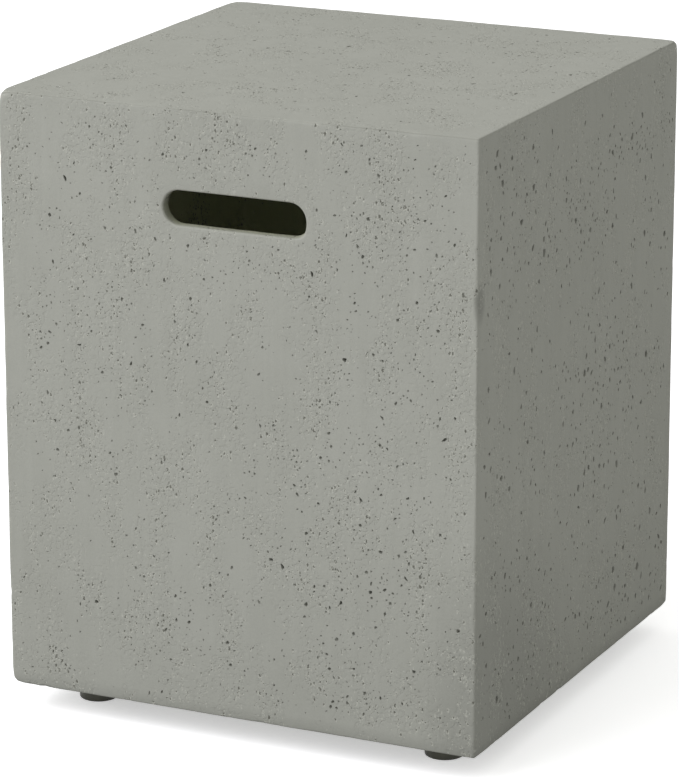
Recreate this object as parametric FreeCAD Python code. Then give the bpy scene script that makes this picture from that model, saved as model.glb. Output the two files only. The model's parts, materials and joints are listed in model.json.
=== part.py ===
import FreeCAD, Part
import math
import os

# A side table that hides a gas bottle: one cast concrete box, open underneath, with a handle
# slot in its front and back walls, standing on four levelling feet that screw into blocks
# bonded in its bottom corners. Lengths are in millimetres. X runs left to right, Y front to
# back and Z up. The origin is on the floor, under the middle of the table.

# The casting
WIDTH = 406.4            # left to right
DEPTH = 406.4            # front to back
SHELL_HEIGHT = 485.5     # from the bottom rim to the table top
WALL = 12.0              # thickness of the four side walls
TOP_THICKNESS = 14.0     # thickness of the table top
OUTER_ROUND = 2.0        # radius of the outer edges
INNER_ROUND = 8.0        # radius of the hollow's corners
RIM_ROUND = 1.5          # radius along the bottom rim

# The handle slots, one in the front wall and one in the back wall
SLOT_LENGTH = 120.0      # end to end
SLOT_HEIGHT = 27.0       # its ends are full half circles of this size
SLOT_DROP = 77.6         # from the table top to the slot's middle
SLOT_OUTER_LIP = 2.0     # radius of the lip on the outside
SLOT_INNER_LIP = 1.5     # radius of the lip on the inside

# Where the feet stand
FOOT_INSET_X = 49.5      # foot axis from the left or right face
FOOT_INSET_Y = 55.0      # foot axis from the front or back face

# The foot pad that rests on the floor
PAD_RADIUS = 16.0
PAD_HEIGHT = 13.0
PAD_LOWER_ROUND = 1.5
PAD_UPPER_ROUND = 2.5
PAD_FLOOR = 4.0          # plastic under the stud's foot disc
PAD_HOLLOW_RADIUS = 11.0     # shallow hollow in the underside
PAD_HOLLOW_DEPTH = 0.6
SNAP_RADIUS = 4.6        # mouth of the socket, where the stud snaps in
SNAP_DEPTH = 1.5         # depth of that flared mouth

# The threaded stud
THREAD_RADIUS = 4.0      # M8
THREAD_LENGTH = 38.0     # above the hexagon collar
THREAD_POINT = 1.0       # chamfer at the tip
COLLAR_FLATS = 14.0      # across the flats
COLLAR_HEIGHT = 4.0
NECK_RADIUS = 3.5
DISC_RADIUS = 6.0        # foot disc held in the pad
DISC_HEIGHT = 3.0
DISC_ROUND = 0.8

# The jam nut and the threaded insert
NUT_FLATS = 13.0
NUT_HEIGHT = 4.0
HEXAGON_SIDES = 6
HEXAGON_SLOPE = 30.0     # degrees that a hexagon's corners are turned down by
BORE_CHAMFER = 0.5
FLANGE_RADIUS = 9.5
FLANGE_THICKNESS = 1.0
INSERT_RADIUS = 6.0
INSERT_LENGTH = 20.0     # from the flange's upper face into the block
GROOVE_DEPTH = 0.8
GROOVE_WIDTH = 2.0
GROOVE_COUNT = 3

# The corner block
BLOCK_MARGIN = 22.5      # block left beyond the foot's axis
BLOCK_COVER = 14.0       # block left above the stud's hole
BLOCK_FREE_ROUND = 10.0  # upright corner that faces the bottle
BLOCK_TOP_ROUND = 4.0    # edge round its top
STUD_HOLE_RADIUS = 5.0
STUD_HOLE_SPARE = 3.0    # room above the stud's tip

# Clearances
RUNNING = 0.05           # radial, where the stud turns in the nut, the insert and the pad
SOCKET_GAP = 0.3         # round and above the foot disc
COLLAR_GAP = 0.5         # between the pad and the collar
GLUE_LINE = 0.1          # radial, round the insert
CORNER_RELIEF = 2.0      # between the block's back corner and the casting's round

# Heights, stacked up from the floor
Z_DISC = PAD_FLOOR
Z_COLLAR = PAD_HEIGHT + COLLAR_GAP
Z_NUT = Z_COLLAR + COLLAR_HEIGHT
Z_FLANGE = Z_NUT + NUT_HEIGHT
Z_RIM = Z_FLANGE + FLANGE_THICKNESS
Z_TOP = Z_RIM + SHELL_HEIGHT
Z_SLOT = Z_TOP - SLOT_DROP
Z_TIP = Z_NUT + THREAD_LENGTH
Z_HOLE_TOP = Z_TIP + STUD_HOLE_SPARE
Z_BLOCK_TOP = Z_HOLE_TOP + BLOCK_COVER

CORNERS = {
    "front_left": (-1, -1),
    "front_right": (1, -1),
    "rear_left": (-1, 1),
    "rear_right": (1, 1),
}
TINY = 1e-4              # for telling edges apart
SPARE = 5.0              # how far a cutting tool runs past a face


def vec(x, y, z):
    return FreeCAD.Vector(x, y, z)


def box_between(low, high):
    """A box from its lowest corner to its highest corner."""
    size = [b - a for a, b in zip(low, high)]
    return Part.makeBox(size[0], size[1], size[2], vec(*low))


def turned(profile):
    """A solid of revolution about Z from (radius, height) points."""
    points = [vec(r, 0, z) for r, z in profile]
    face = Part.Face(Part.makePolygon(points + points[:1]))
    return face.revolve(vec(0, 0, 0), vec(0, 0, 1), 360)


def edges_where(shape, wanted):
    """The edges whose ends and middle all satisfy a test on a point."""
    found = []
    for edge in shape.Edges:
        first, last = edge.ParameterRange
        points = [edge.valueAt(first), edge.valueAt((first + last) / 2), edge.valueAt(last)]
        if all(wanted(p) for p in points):
            found.append(edge)
    return found


def is_ring(radius, z):
    """A test for points on a circle about Z."""
    def wanted(p):
        return abs(math.hypot(p.x, p.y) - radius) < TINY and abs(p.z - z) < TINY
    return wanted


def round_rings(shape, rings):
    """Rounds circular edges about Z, each given as (edge radius, height, round)."""
    for radius, z, size in rings:
        shape = shape.makeFillet(size, edges_where(shape, is_ring(radius, z)))
    return shape


def upright_edges(shape, corners):
    """The edges parallel to Z that stand at the given (x, y) corners."""
    def wanted(p):
        return any(math.hypot(p.x - x, p.y - y) < TINY for x, y in corners)
    return edges_where(shape, wanted)


def hexagon(across_flats, z, height):
    """A hexagon bar about Z, its corners turned down at both ends as on a nut."""
    flat = across_flats / 2
    corner = flat / math.cos(math.pi / HEXAGON_SIDES)
    turns = [2 * math.pi * i / HEXAGON_SIDES for i in range(HEXAGON_SIDES)]
    points = [vec(corner * math.cos(a), corner * math.sin(a), z) for a in turns]
    bar = Part.Face(Part.makePolygon(points + points[:1])).extrude(vec(0, 0, height))
    slope = (corner - flat) * math.tan(math.radians(HEXAGON_SLOPE))
    envelope = turned([
        (0, z),
        (flat, z),
        (corner, z + slope),
        (corner, z + height - slope),
        (flat, z + height),
        (0, z + height),
    ])
    return bar.common(envelope)


def bore(radius, z, height):
    """A tool for a bore through a piece, with a chamfer at each mouth."""
    wide = radius + BORE_CHAMFER
    return turned([
        (0, z - SPARE),
        (wide, z - SPARE),
        (wide, z),
        (radius, z + BORE_CHAMFER),
        (radius, z + height - BORE_CHAMFER),
        (wide, z + height),
        (wide, z + height + SPARE),
        (0, z + height + SPARE),
    ])


def outer_form():
    """The casting's outside: all edges rounded, the bottom rim less."""
    half_w = WIDTH / 2
    half_d = DEPTH / 2
    form = box_between((-half_w, -half_d, Z_RIM), (half_w, half_d, Z_TOP))

    def at_rim(p):
        return abs(p.z - Z_RIM) < TINY

    bottom = edges_where(form, at_rim)
    rest = [e for e in form.Edges if not any(e.isSame(b) for b in bottom)]
    form = form.makeFillet(OUTER_ROUND, rest)
    return form.makeFillet(RIM_ROUND, edges_where(form, at_rim))


def hollow():
    """The space inside the casting, open at the bottom."""
    half_w = WIDTH / 2 - WALL
    half_d = DEPTH / 2 - WALL
    ceiling = Z_TOP - TOP_THICKNESS
    space = box_between((-half_w, -half_d, Z_RIM - SPARE), (half_w, half_d, ceiling))

    def at_floor(p):
        return abs(p.z - (Z_RIM - SPARE)) < TINY

    bottom = edges_where(space, at_floor)
    rest = [e for e in space.Edges if not any(e.isSame(b) for b in bottom)]
    return space.makeFillet(INNER_ROUND, rest)


def slot_tool(y_low, y_high):
    """An obround bar along Y that cuts a slot."""
    radius = SLOT_HEIGHT / 2
    reach = SLOT_LENGTH / 2 - radius
    length = y_high - y_low
    bar = box_between((-reach, y_low, Z_SLOT - radius), (reach, y_high, Z_SLOT + radius))
    for side in (-1, 1):
        end = Part.makeCylinder(radius, length, vec(side * reach, y_low, Z_SLOT), vec(0, 1, 0))
        bar = bar.fuse(end)
    return bar.removeSplitter()


def round_slot(shell, side, y, size):
    """Rounds the lip where a slot meets the wall face at y, on the front (-1) or back (1)."""
    if size <= 0:
        return shell
    radius = SLOT_HEIGHT / 2
    reach = SLOT_LENGTH / 2

    def wanted(p):
        near = abs(p.x) < reach + TINY and abs(p.z - Z_SLOT) < radius + TINY
        return near and abs(p.y - side * y) < TINY

    return shell.makeFillet(size, edges_where(shell, wanted))


def cast_shell():
    """The one-piece casting: a top and four walls, with a slot in the front and the back."""
    shell = outer_form().cut(hollow())
    half_d = DEPTH / 2
    for side in (-1, 1):
        ends = sorted([side * (half_d - WALL - SPARE), side * (half_d + SPARE)])
        shell = shell.cut(slot_tool(ends[0], ends[1]))
    inner_w = WIDTH / 2 - WALL
    inner_d = half_d - WALL

    def at_inner_rim(p):
        inside = abs(p.x) < inner_w + TINY and abs(p.y) < inner_d + TINY
        return inside and abs(p.z - Z_RIM) < TINY

    shell = shell.makeFillet(RIM_ROUND, edges_where(shell, at_inner_rim))
    outer_lip = min(SLOT_OUTER_LIP, WALL / 2 - TINY)
    inner_lip = min(SLOT_INNER_LIP, WALL / 2 - TINY)
    for side in (-1, 1):
        shell = round_slot(shell, side, half_d, outer_lip)
        shell = round_slot(shell, side, inner_d, inner_lip)
    return shell


def corner_block(side_x, side_y):
    """A block bonded into a bottom corner, holed from below for the insert and the stud."""
    back_x = FOOT_INSET_X - WALL
    back_y = FOOT_INSET_Y - WALL
    low = (-back_x, -back_y, Z_RIM)
    high = (BLOCK_MARGIN, BLOCK_MARGIN, Z_BLOCK_TOP)
    block = box_between(low, high)
    relief = INNER_ROUND + CORNER_RELIEF
    block = block.makeFillet(relief, upright_edges(block, [(low[0], low[1])]))
    block = block.makeFillet(BLOCK_FREE_ROUND, upright_edges(block, [(high[0], high[1])]))

    def on_free_top(p):
        free = p.x > low[0] + TINY or p.y > low[1] + TINY
        return free and abs(p.z - Z_BLOCK_TOP) < TINY

    free_edges = [
        e for e in edges_where(block, on_free_top)
        if not on_wall(e, low[0], low[1])
    ]
    block = block.makeFillet(BLOCK_TOP_ROUND, free_edges)
    holes = turned([
        (0, Z_RIM - SPARE),
        (INSERT_RADIUS + GLUE_LINE, Z_RIM - SPARE),
        (INSERT_RADIUS + GLUE_LINE, Z_RIM + INSERT_LENGTH + GLUE_LINE),
        (STUD_HOLE_RADIUS, Z_RIM + INSERT_LENGTH + GLUE_LINE),
        (STUD_HOLE_RADIUS, Z_HOLE_TOP),
        (0, Z_HOLE_TOP),
    ])
    return turn_to_corner(block.cut(holes), side_x, side_y)


def on_wall(edge, x, y):
    """True for an edge that lies along the wall at x or along the wall at y."""
    points = [v.Point for v in edge.Vertexes]
    along_x = all(abs(p.x - x) < TINY for p in points)
    along_y = all(abs(p.y - y) < TINY for p in points)
    return along_x or along_y


def turn_to_corner(shape, side_x, side_y):
    """Mirrors a piece made for the front left corner to another corner."""
    if side_x > 0:
        shape = shape.mirror(vec(0, 0, 0), vec(1, 0, 0))
    if side_y > 0:
        shape = shape.mirror(vec(0, 0, 0), vec(0, 1, 0))
    return shape


def threaded_insert():
    """A flanged metal sleeve glued into the block, grooved so that it can't pull out."""
    top = Z_RIM + INSERT_LENGTH
    pitch = INSERT_LENGTH / (GROOVE_COUNT + 1)
    profile = [(0, Z_FLANGE), (FLANGE_RADIUS, Z_FLANGE), (FLANGE_RADIUS, Z_RIM), (INSERT_RADIUS, Z_RIM)]
    for i in range(GROOVE_COUNT):
        middle = Z_RIM + pitch * (i + 1)
        profile += [
            (INSERT_RADIUS, middle - GROOVE_WIDTH / 2),
            (INSERT_RADIUS - GROOVE_DEPTH, middle - GROOVE_WIDTH / 2),
            (INSERT_RADIUS - GROOVE_DEPTH, middle + GROOVE_WIDTH / 2),
            (INSERT_RADIUS, middle + GROOVE_WIDTH / 2),
        ]
    profile += [(INSERT_RADIUS, top), (0, top)]
    sleeve = turned(profile)
    return sleeve.cut(bore(THREAD_RADIUS + RUNNING, Z_FLANGE, FLANGE_THICKNESS + INSERT_LENGTH))


def jam_nut():
    """A thin hexagon nut, screwed up against the insert's flange."""
    return hexagon(NUT_FLATS, Z_FLANGE - NUT_HEIGHT, NUT_HEIGHT).cut(
        bore(THREAD_RADIUS + RUNNING, Z_FLANGE - NUT_HEIGHT, NUT_HEIGHT)
    )


def foot_stud():
    """The threaded stud: foot disc, neck, hexagon collar and shank in one."""
    disc_top = Z_DISC + DISC_HEIGHT
    body = turned([
        (0, Z_DISC),
        (DISC_RADIUS, Z_DISC),
        (DISC_RADIUS, disc_top),
        (NECK_RADIUS, disc_top),
        (NECK_RADIUS, Z_COLLAR),
        (0, Z_COLLAR),
    ])
    body = round_rings(body, [(DISC_RADIUS, Z_DISC, DISC_ROUND), (DISC_RADIUS, disc_top, DISC_ROUND)])
    shank = turned([
        (0, Z_NUT),
        (THREAD_RADIUS, Z_NUT),
        (THREAD_RADIUS, Z_TIP - THREAD_POINT),
        (THREAD_RADIUS - THREAD_POINT, Z_TIP),
        (0, Z_TIP),
    ])
    collar = hexagon(COLLAR_FLATS, Z_COLLAR, COLLAR_HEIGHT)
    return body.fuse([collar, shank]).removeSplitter()


def foot_pad():
    """The moulded pad: a thick disc with a socket that the stud's foot disc snaps into."""
    pad = turned([
        (0, PAD_HOLLOW_DEPTH),
        (PAD_HOLLOW_RADIUS, PAD_HOLLOW_DEPTH),
        (PAD_HOLLOW_RADIUS, 0),
        (PAD_RADIUS, 0),
        (PAD_RADIUS, PAD_HEIGHT),
        (0, PAD_HEIGHT),
    ])
    pad = round_rings(pad, [
        (PAD_RADIUS, 0, PAD_LOWER_ROUND),
        (PAD_RADIUS, PAD_HEIGHT, PAD_UPPER_ROUND),
    ])
    ceiling = Z_DISC + DISC_HEIGHT + SOCKET_GAP
    socket = turned([
        (0, Z_DISC),
        (DISC_RADIUS + SOCKET_GAP, Z_DISC),
        (DISC_RADIUS + SOCKET_GAP, ceiling),
        (NECK_RADIUS + RUNNING, ceiling),
        (NECK_RADIUS + RUNNING, PAD_HEIGHT - SNAP_DEPTH),
        (SNAP_RADIUS, PAD_HEIGHT),
        (SNAP_RADIUS, PAD_HEIGHT + SPARE),
        (0, PAD_HEIGHT + SPARE),
    ])
    return pad.cut(socket)


def save(shape, node):
    """Writes one piece, after seeing that it is one sound solid."""
    solids = shape.Solids
    if len(solids) != 1 or not solids[0].isValid():
        raise ValueError(node + " isn't one sound solid")
    solids[0].exportStep("parts/" + node + ".step")
    print(node, round(solids[0].Volume / 1000, 2), "cm3")


def main():
    os.makedirs("parts", exist_ok=True)
    save(cast_shell(), "cast_shell")
    insert = threaded_insert()
    nut = jam_nut()
    stud = foot_stud()
    pad = foot_pad()
    for corner, (side_x, side_y) in CORNERS.items():
        place = vec(side_x * (WIDTH / 2 - FOOT_INSET_X), side_y * (DEPTH / 2 - FOOT_INSET_Y), 0)
        save(corner_block(side_x, side_y).translated(place), "corner_block_" + corner)
        save(insert.translated(place), "threaded_insert_" + corner)
        save(nut.translated(place), "jam_nut_" + corner)
        save(stud.translated(place), "foot_stud_" + corner)
        save(pad.translated(place), "foot_pad_" + corner)


main()
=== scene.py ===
"""A square cast-concrete side table, hollow and open underneath, on four screw-in levelling feet."""
import json
import math

import bpy
import numpy as np
from mathutils import Matrix, Vector
from mathutils.geometry import delaunay_2d_cdt

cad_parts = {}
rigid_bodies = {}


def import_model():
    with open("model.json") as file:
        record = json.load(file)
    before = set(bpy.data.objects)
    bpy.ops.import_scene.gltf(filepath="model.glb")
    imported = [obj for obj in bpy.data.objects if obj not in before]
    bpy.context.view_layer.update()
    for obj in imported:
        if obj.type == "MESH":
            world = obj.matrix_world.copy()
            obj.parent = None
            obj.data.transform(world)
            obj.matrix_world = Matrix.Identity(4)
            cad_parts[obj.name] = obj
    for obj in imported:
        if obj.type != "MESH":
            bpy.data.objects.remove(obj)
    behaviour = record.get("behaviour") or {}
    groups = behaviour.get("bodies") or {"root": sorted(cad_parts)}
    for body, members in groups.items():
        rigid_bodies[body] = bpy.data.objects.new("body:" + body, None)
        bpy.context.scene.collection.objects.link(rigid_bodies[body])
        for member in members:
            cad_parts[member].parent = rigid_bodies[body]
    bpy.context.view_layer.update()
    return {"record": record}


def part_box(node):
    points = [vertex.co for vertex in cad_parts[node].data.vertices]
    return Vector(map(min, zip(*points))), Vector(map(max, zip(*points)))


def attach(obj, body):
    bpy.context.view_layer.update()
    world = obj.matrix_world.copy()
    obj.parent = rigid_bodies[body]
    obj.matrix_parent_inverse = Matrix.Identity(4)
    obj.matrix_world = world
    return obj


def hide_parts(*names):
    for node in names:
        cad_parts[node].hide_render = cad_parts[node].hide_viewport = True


MM = 0.001               # lengths below are in millimetres, down to the finishes


def box_of(node):
    """A node's lowest and highest corner, in millimetres."""
    return [np.array(corner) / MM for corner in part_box(node)]


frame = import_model()

# The casting: its outside is a box and its hollow is a smaller box, open at the bottom
OUT_LOW, OUT_HIGH = box_of("cast_shell")
WALL = box_of("corner_block_front_left")[0][0] - OUT_LOW[0]
TOP_THICKNESS = 14.0
OPEN_BELOW = 50.0            # how far the hollow's box runs on below the rim
IN_LOW = OUT_LOW + (WALL, WALL, -OPEN_BELOW)
IN_HIGH = OUT_HIGH - (WALL, WALL, TOP_THICKNESS)
RIM = OUT_LOW[2]
TOP = OUT_HIGH[2]
OUTER_ROUND = 2.0
INNER_ROUND = 8.0
RIM_ROUND = 1.5
CORNER_REACH = 8.0           # how far along the edges a corner's wear runs
# how round each corner is worn: left or right, front or rear, bottom or top
CORNER_WEAR = {
    (0, 0, 0): 6.0, (0, 0, 1): 7.0, (0, 1, 0): 4.5, (0, 1, 1): 6.5,
    (1, 0, 0): 2.4, (1, 0, 1): 2.6, (1, 1, 0): 4.0, (1, 1, 1): 5.0,
}

# The handle slot, the same in the front and the back wall
SLOT_LENGTH = 120.0
SLOT_HEIGHT = 27.0
SLOT_DROP = 77.6
SLOT_OUTER_LIP = 2.0
SLOT_INNER_LIP = 1.5
SLOT_RADIUS = SLOT_HEIGHT / 2
SLOT_REACH = SLOT_LENGTH / 2 - SLOT_RADIUS
SLOT_MIDDLE = np.array([0.0, TOP - SLOT_DROP])
SLOT_PAINTED_SHADE = (0.5, 1.0)       # how dark the slot's wall is painted inside as shade, below and above, as deep as a pit at 1
SLOT_WEAR = (1.1, 2.1, 7.0)  # how far its right end and that end's lower corner are worn, and over what reach

# Noises, each the size of its waves and its seed
EDGE_NOISE = (23.0, 3)
BROAD_NOISE = (85.0, 5)
FINE_NOISE = (11.0, 6)
SEAM_NOISE = (30.0, 8)
BLOCK_NOISE = (14.0, 21)
BEAD_NOISE = (6.0, 22)


def lattice_value(cell, seed):
    """A repeatable number from -1 to 1 for each whole-numbered lattice point: its three numbers are
    multiplied by large odd numbers, mixed bit by bit, and the low bits are read as a fraction."""
    mixed = (cell[..., 0] * 73856093) ^ (cell[..., 1] * 19349663) ^ (cell[..., 2] * 83492791) ^ (seed * 40503)
    mixed = (mixed ^ (mixed >> 13)) * 1274126177 & 0x7FFFFFFF
    mixed = mixed ^ (mixed >> 16)
    return (mixed & 0xFFFF) / 32767.5 - 1


def noise(points, size, seed):
    """Smooth noise from -1 to 1: the values at the eight lattice points round each point, size apart,
    blended along each axis by 3t^2 - 2t^3."""
    scaled = points / size
    cell = np.floor(scaled).astype(np.int64)
    t = scaled - cell
    t = t * t * (3 - 2 * t)
    total = np.zeros(len(points))
    for corner in np.ndindex(2, 2, 2):
        weight = np.prod(np.where(np.array(corner) == 1, t, 1 - t), axis=1)
        total += weight * lattice_value(cell + corner, seed)
    return total


def bell(points, place, length):
    """A bell curve of the distance from a place, exp(-(distance / length)^2)."""
    return np.exp(-(np.linalg.norm(points - place, axis=1) / length) ** 2)


# The outside's edges

RIM_REACH = 6.0              # height over which the rim's small round grows to the edges' round
EDGE_WAVE = 0.25             # how uneven the edges' round is, as a share of it
NICKS_PER_EDGE = 9
NICK_SPAN = (0.04, 0.96)     # the stretch of an edge that has nicks, as shares of its length
NICK_DEPTH = (0.4, 1.7)      # extra radius in a nick, least and most
NICK_LENGTH = (1.5, 4.5)
LONG_DENT = (OUT_HIGH[0], OUT_LOW[1], 383.0, 2.4, 14.0)    # in the near upright edge: place, depth, length
RIM_CHIPS = [(x, OUT_LOW[1], RIM, depth, length) for x, depth, length in
             ((-187, 2.6, 2.2), (-181, 1.8, 1.6), (-174, 3.0, 2.4), (-171, 1.8, 1.5), (96, 1.6, 2.0))]


def edge_nicks(rng):
    """Rows of (x, y, z, depth, length) for the small nicks in the outer edges, spread evenly by chance, and
    for the dent and the chips above."""
    corners = np.where(list(np.ndindex(2, 2, 2)), OUT_HIGH, OUT_LOW)
    pairs = [(a, b) for a in range(8) for b in range(a + 1, 8) if (corners[a] != corners[b]).sum() == 1]
    starts, ends = corners[np.transpose(pairs)]
    edge = np.repeat(np.arange(len(pairs)), NICKS_PER_EDGE)
    t = rng.uniform(*NICK_SPAN, len(edge))[:, None]
    places = starts[edge] * (1 - t) + ends[edge] * t
    depths = NICK_DEPTH[0] + (NICK_DEPTH[1] - NICK_DEPTH[0]) * rng.random(len(edge)) ** 3
    lengths = rng.uniform(*NICK_LENGTH, len(edge))
    return np.vstack([np.column_stack([places, depths, lengths]), LONG_DENT, RIM_CHIPS])


NICKS = edge_nicks(np.random.default_rng(11))


def edge_round(points):
    """The radius of the outside's edges near each point. It is RIM_ROUND at the rim and OUTER_ROUND above
    it, made uneven by noise, and each corner and nick adds its own depth times a bell curve."""
    radius = np.interp(points[:, 2] - RIM, [0, RIM_REACH], [RIM_ROUND, OUTER_ROUND])
    radius = radius * (1 + EDGE_WAVE * noise(points, *EDGE_NOISE))
    for which, worn in CORNER_WEAR.items():
        radius += (worn - OUTER_ROUND) * bell(points, np.where(which, OUT_HIGH, OUT_LOW), CORNER_REACH)
    for x, y, z, depth, length in NICKS:
        radius += depth * bell(points, (x, y, z), length)
    return radius


def rounded(points, low, high, radius):
    """Carries points on a sharp box to the rounded box. The core is the point held at least radius inside
    every side; the point moves to core + radius x the unit vector from the core to it, which is also
    the outward normal there."""
    radius = np.broadcast_to(radius, len(points))[:, None]
    core = np.clip(points, low + radius, high - radius)
    normal = points - core
    normal = normal / np.linalg.norm(normal, axis=1, keepdims=True)
    return core + radius * normal, normal


def outside_of(points):
    """Points on the sharp outer box, carried to the casting's outside, with their outward normals."""
    return rounded(points, OUT_LOW, OUT_HIGH, edge_round(points))


def wall_of_hollow(points):
    """Points on the sharp inner box, carried to the hollow's wall with its concave rounds, with normals
    that point into the concrete."""
    return rounded(points, IN_LOW, IN_HIGH, INNER_ROUND)


def hollow_of(points):
    """Points on the sharp inner box, carried to the hollow's surface with normals into the air. Within
    RIM_ROUND of the rim the surface rolls over: a point at height h turns by the angle a with
    tan a = (round - h) / round, moves round (1 - cos a) into the wall and ends round (1 - sin a) up."""
    base, into = wall_of_hollow(points)
    height = np.clip(points[:, 2] - RIM, 0, RIM_ROUND)
    angle = np.arctan((RIM_ROUND - height) / RIM_ROUND)[:, None]
    rolled = points[:, 2:3] - RIM < RIM_ROUND
    moved = base + into * RIM_ROUND * (1 - np.cos(angle))
    moved[:, 2] = RIM + RIM_ROUND * (1 - np.sin(angle[:, 0]))
    out = -into * np.cos(angle) - np.array([0, 0, 1.0]) * np.sin(angle)
    return np.where(rolled, moved, base), np.where(rolled, out, -into)


OUTER_SWELL = 0.35       # most that the outside waves inward
INNER_SWELL = 0.8
INNER_ROUGH = 0.35


def settle(base, out, share):
    """Pushes a surface inward by its cast unevenness. share is 0 on the outside and 1 in the hollow:
    the depth is swell (1 + noise) / 2 at a hand's width, and on the inside also a finer roughness."""
    broad = (1 + noise(base, *BROAD_NOISE)) / 2
    fine = (1 + noise(base, *FINE_NOISE)) / 2
    depth = broad * (OUTER_SWELL * (1 - share) + INNER_SWELL * share) + fine * INNER_ROUGH * share
    return base - out * depth[:, None]


# A flat side as a mesh with pits

EDGE_ROWS = np.array([0, 0.6, 1.3, 2.1, 3.0, 4.5])    # rows of vertices beside an edge, as distances from it
ROLL_ROWS = np.array([0, 0.5, 1.0, RIM_ROUND])
CEILING_ROWS = np.array([0, 2.0, 4.0, 6.0, INNER_ROUND])
FINE_STEP = 4.0          # between vertices along an outer edge
COARSE_STEP = 8.0        # between rows up the hollow


def lines_between(low, high, first, last, step):
    """Rows across a side: close ones by each edge and even ones between, as places from low to high."""
    count = int(round((high - last[-1] - low - first[-1]) / step))
    middle = np.linspace(low + first[-1], high - last[-1], count + 1)[1:-1]
    return np.concatenate([low + first, middle, high - last[::-1]])


OUT_X, OUT_Y, OUT_Z = [
    lines_between(low, high, EDGE_ROWS, EDGE_ROWS, FINE_STEP) for low, high in zip(OUT_LOW, OUT_HIGH)]
IN_X = OUT_X * IN_HIGH[0] / OUT_HIGH[0]      # so that each vertex of the rim has a partner inside
IN_Y = OUT_Y * IN_HIGH[1] / OUT_HIGH[1]
IN_Z = lines_between(RIM, IN_HIGH[2], ROLL_ROWS, CEILING_ROWS, COARSE_STEP)
# along x, y and z, for the outside and for the hollow: the lines, and how many cells at each end of them are
# kept as a plain grid, so that the rounded edges are even
LINES = ((OUT_X, OUT_Y, OUT_Z), (IN_X, IN_Y, IN_Z))
BANDS = (((5, 5), (5, 5), (5, 5)), ((6, 6), (6, 6), (3, 4)))


class Side:
    """A flat side of the casting, on the outside (share 0) or in the hollow (share 1). A place (u, v) on it
    is base + u across + v up, and across x up points into the air. Its middle runs from low to high."""

    def __init__(self, across, up, share):
        self.share, self.carried = share, hollow_of if share else outside_of
        self.across, self.up = np.array(across, float), np.array(up, float)
        self.out = np.cross(self.across, self.up)
        reach = [self.out @ corner for corner in ((IN_LOW, IN_HIGH) if share else (OUT_LOW, OUT_HIGH))]
        self.base = self.out * (min(reach) if share else max(reach))
        axes = [np.abs(way).argmax() for way in (across, up)]
        self.lines = [LINES[share][axis] for axis in axes]
        bands = [BANDS[share][axis] for axis in axes]
        self.low = np.array([line[first] for line, (first, _) in zip(self.lines, bands)])
        self.high = np.array([line[-1 - last] for line, (_, last) in zip(self.lines, bands)])

    def at(self, places):
        return self.base + places[:, :1] * self.across + places[:, 1:] * self.up


class Surface:
    """Gathers vertices and faces until they are made one mesh. Each vertex has its place in millimetres,
    its share (0 on the outside, 1 in the hollow), how dark it is with dirt and painted shade (1 deep in a
    pit), and the number of the pit whose rim it is on, or -1."""

    def __init__(self):
        self.rows, self.faces = [], []
        self.count, self.rims_used = 0, 0

    def add(self, points, share, dirt_and_shade=0.0, rim=-1):
        """Adds vertices, and returns the number of the first of them."""
        values = [np.broadcast_to(value, len(points)) for value in (share, dirt_and_shade, rim)]
        self.rows.append(np.column_stack([points, *values]))
        self.count += len(points)
        return self.count - len(points)


def grid_quads(rows, columns, closed=False):
    """Two triangles for each cell of a grid of vertices numbered row by row; closed joins the last column to
    the first. A cell's corners run along its row first, then to the next row."""
    across = columns if closed else columns - 1
    row, column = [a.ravel() for a in np.mgrid[0:rows - 1, 0:across]]
    right = (column + 1) % columns
    a, b = row * columns + column, row * columns + right
    d, c = a + columns, b + columns
    return np.concatenate([np.column_stack([a, b, c]), np.column_stack([a, c, d])])


def crossings(lines_u, lines_v):
    """The places where two sets of lines cross, row by row."""
    return np.stack(np.meshgrid(lines_u, lines_v), axis=-1).reshape(-1, 2)


# Kinds of pit, by size: least and most radius, how many sides its rim has, and its rings as (width, depth,
# dirt and painted shade) shares. The first ring ends a clean bevel that catches the light
PIT_KINDS = (
    (0.0, 0.8, 5, ()),
    (0.8, 1.15, 6, ()),
    (1.15, 1.6, 8, ((0.84, 0.25, 0.5),)),
    (1.6, 9.0, 10, ((0.86, 0.22, 0.4), (0.62, 0.85, 1.0))),
)
RIM_WOBBLE = 0.32
PIT_MARGIN = 0.3             # clear round a pit, to a loose vertex or to the side's edge
PIT_CLEARANCE = 0.2          # clear between two pits
INSIDE_STEP = 17.0           # between the loose vertices in the middle of a side
LOOSE_JITTER = 0.2           # how far they are moved by chance, as a share of that step
CORNER_LINES = (2.0, 4.2)    # closer vertices where the corners are worn
SLOT_MARGIN = 2.0            # clear of loose vertices beyond the slot's worn lip
CDT_TOLERANCE = 1e-7
LEAST_AREA = 1e-9


def pit_rings(pits, sides, rings, rng):
    """The rings of many pits of one kind, as places [pit, ring, angle, 2]. A rim is an ellipse of mean
    radius r, stretched s to 1/s and turned, and each of its vertices is moved in or out by up to
    RIM_WOBBLE. The rings below are the same rim made narrower."""
    angle = np.arange(sides) * 2 * np.pi / sides
    wobble = 1 + rng.uniform(-RIM_WOBBLE, RIM_WOBBLE, (len(pits), sides))
    root = np.sqrt(pits["stretch"])[:, None]
    along = pits["radius"][:, None] * root * np.cos(angle) * wobble
    aside = pits["radius"][:, None] / root * np.sin(angle) * wobble
    cos, sin = np.cos(pits["turn"])[:, None], np.sin(pits["turn"])[:, None]
    rim = np.stack([along * cos - aside * sin, along * sin + aside * cos], axis=-1)
    widths = np.array([1.0] + [ring[0] for ring in rings])
    centre = np.stack([pits["u"], pits["v"]], axis=-1)
    return centre[:, None, None, :] + rim[:, None] * widths[None, :, None, None]


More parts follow.
